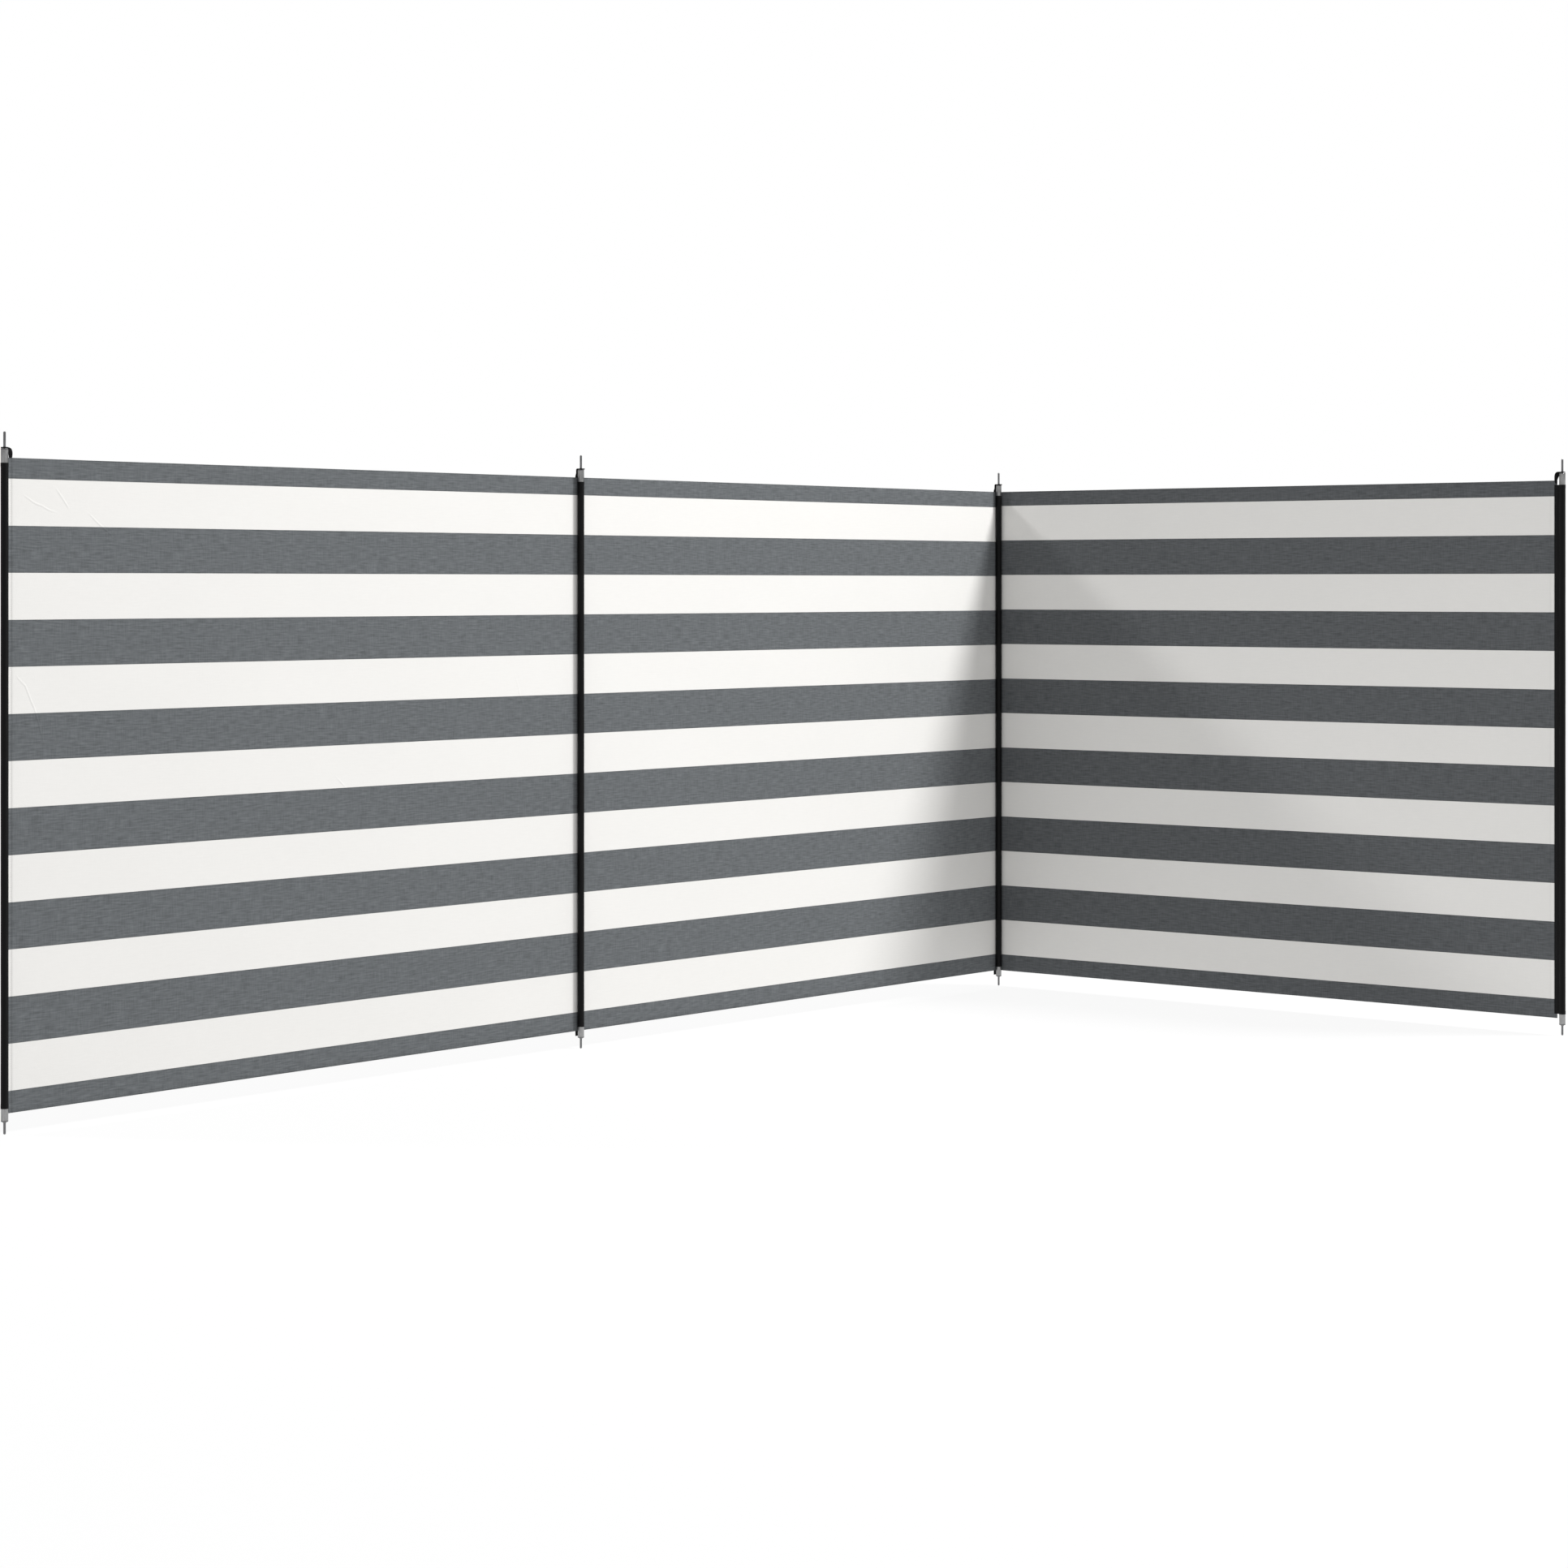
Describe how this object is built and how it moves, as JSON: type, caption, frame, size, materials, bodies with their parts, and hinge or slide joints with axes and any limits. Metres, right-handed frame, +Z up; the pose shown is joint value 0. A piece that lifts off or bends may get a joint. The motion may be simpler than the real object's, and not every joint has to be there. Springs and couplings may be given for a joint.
{
  "type": "beach windbreak",
  "caption": "Striped cloth windbreak in bays on steel poles with black sleeves, pins at both ends and straps over the tops; the bays fold at the poles.",
  "frame": {"origin": "centre of the flat foot of the corner pole, where it stops on the ground", "axes": "+Z up along the poles; the two bays in line run along -X; the turned bay runs along -Y; the fronts face -Y and -X"},
  "size_m": [3.627, 1.827, 1.5],
  "materials": {
    "striped_cloth": "matte",
    "black_sleeve": "matte",
    "black_webbing": "matte",
    "steel_tube": "satin",
    "steel_pin": "satin"
  },
  "bodies": {
    "middle_bay": {"middle_cloth": "striped_cloth", "left_middle_tube": "steel_tube", "left_middle_top_pin": "steel_pin", "left_middle_foot_pin": "steel_pin", "left_middle_sleeve": "black_sleeve", "left_middle_strap": "black_webbing", "left_middle_tab": "black_webbing", "corner_tube": "steel_tube", "corner_top_pin": "steel_pin", "corner_foot_pin": "steel_pin", "corner_sleeve": "black_sleeve", "corner_strap": "black_webbing", "corner_tab": "black_webbing"},
    "left_bay": {"left_cloth": "striped_cloth", "left_end_tube": "steel_tube", "left_end_top_pin": "steel_pin", "left_end_foot_pin": "steel_pin", "left_end_sleeve": "black_sleeve", "left_end_strap": "black_webbing"},
    "right_bay": {"right_cloth": "striped_cloth", "right_end_tube": "steel_tube", "right_end_top_pin": "steel_pin", "right_end_foot_pin": "steel_pin", "right_end_sleeve": "black_sleeve", "right_end_strap": "black_webbing"}
  },
  "joints": [
    {"name": "left_fold", "type": "hinge", "parent": "middle_bay", "child": "left_bay", "pos_m": [-1.8, 0, 0], "axis": [0, 0, 1], "range_deg": [0, 115]},
    {"name": "right_fold", "type": "hinge", "parent": "middle_bay", "child": "right_bay", "pos_m": [0, 0, 0], "axis": [0, 0, -1], "range_deg": [-90, 25]}
  ]
}
